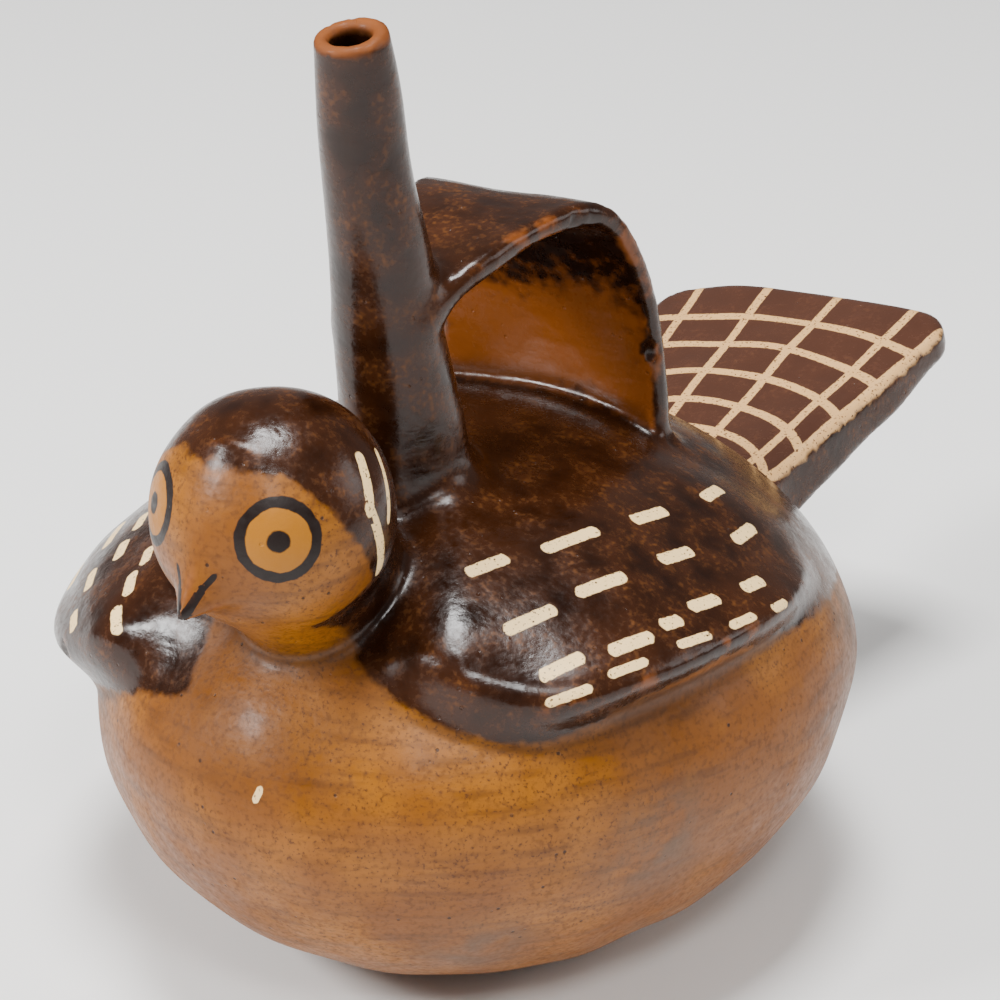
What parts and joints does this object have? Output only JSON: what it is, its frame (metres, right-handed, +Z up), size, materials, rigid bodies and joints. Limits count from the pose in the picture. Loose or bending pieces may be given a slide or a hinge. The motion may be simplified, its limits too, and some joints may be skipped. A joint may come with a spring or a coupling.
{
  "type": "bird effigy spout and strap handle vessel",
  "caption": "Hollow burnished clay bottle shaped as a resting bird, with a tapered spout behind the head and a broad strap handle to the back.",
  "frame": {"origin": "centre of the flat underside that the bird stands on", "axes": "+Z up, the beak points along -Y and the tail along +Y, and the bird's left wing is on the +X side"},
  "size_m": [0.1606, 0.2466, 0.1999],
  "materials": {
    "slip_painted_clay": "burnished dark brown slip over an ochre orange clay body, with cream painted marks"
  },
  "bodies": {
    "root": {"bird_body": "slip_painted_clay", "spout_and_handle": "slip_painted_clay"}
  },
  "joints": []
}
